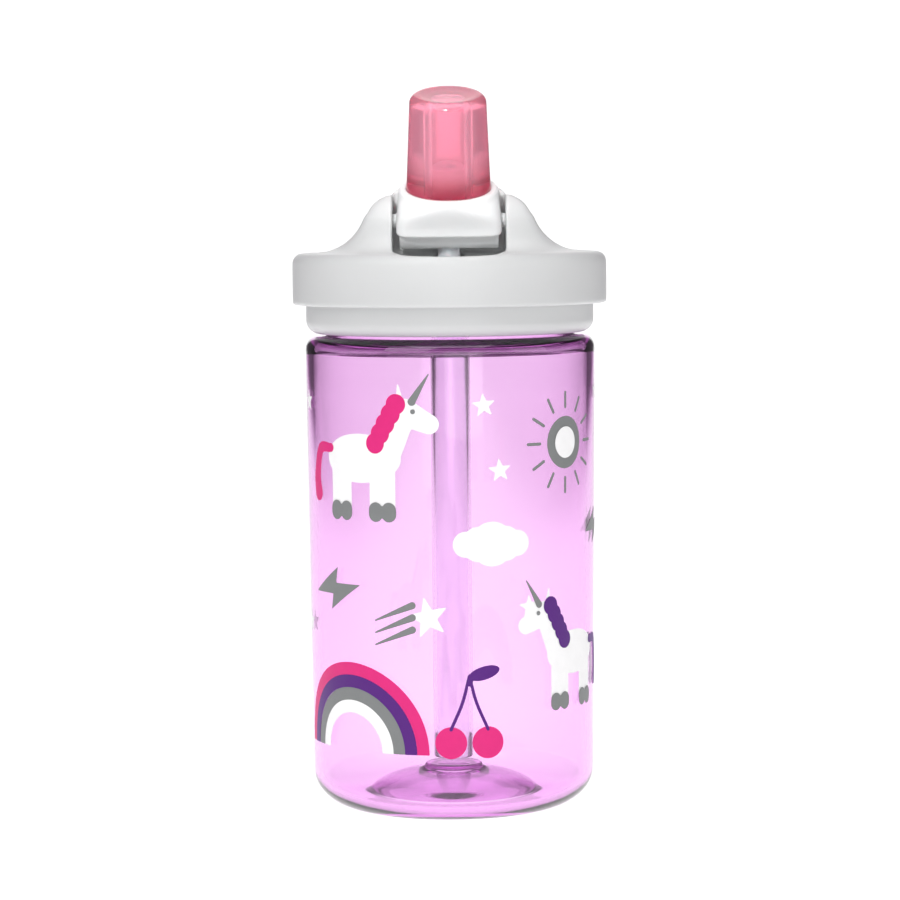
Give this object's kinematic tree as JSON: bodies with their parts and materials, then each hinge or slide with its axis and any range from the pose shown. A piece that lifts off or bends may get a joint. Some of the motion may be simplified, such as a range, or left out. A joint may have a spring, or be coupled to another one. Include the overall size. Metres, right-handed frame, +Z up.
{
  "type": "kids water bottle",
  "caption": "Clear kids water bottle with a threaded neck, a white screw lid with a carry loop, and a flip spout with a soft bite valve over a straw.",
  "frame": {"origin": "centre of the foot, on the surface the bottle stands on", "axes": "+Z up along the bottle's axis, +X to the right seen from the front, the front and the folding side of the spout face -Y"},
  "size_m": [0.0794, 0.0794, 0.1827],
  "materials": {
    "clear_body": "clear lilac co-polyester, glossy",
    "straw": "clear polypropylene",
    "seal": "translucent white silicone",
    "lid": "fine satin white polypropylene",
    "valve": "translucent pink silicone"
  },
  "bodies": {
    "bottle": {"bottle_body": "clear_body"},
    "lid_seal": {"lid_gasket": "seal"},
    "straw": {"straw": "straw"},
    "lid": {"lid_shell": "lid", "lid_collar": "lid", "vent_valve": "seal", "spout_seal": "seal"},
    "spout": {"spout_stem": "lid", "bite_valve": "valve"}
  },
  "joints": [
    {"name": "lid_pull_off", "type": "slide", "parent": "bottle", "child": "lid_seal", "axis": [0, 0, 1], "range_m": [0, 0.135]},
    {"name": "lid_rise", "type": "slide", "parent": "lid_seal", "child": "straw", "axis": [0, 0, 1], "range_m": [0, 0.0058]},
    {"name": "lid_turn", "type": "hinge", "parent": "straw", "child": "lid", "pos_m": [0, 0, 0.13], "axis": [0, 0, 1], "range_deg": [0, 405]},
    {"name": "spout_flip", "type": "hinge", "parent": "lid", "child": "spout", "pos_m": [0, 0, 0.1488], "axis": [1, 0, 0], "range_deg": [0, 67]}
  ],
  "couplings": [
    {"joint": "lid_rise", "follows": "lid_turn", "m_per_rad": 0.00079577}
  ]
}
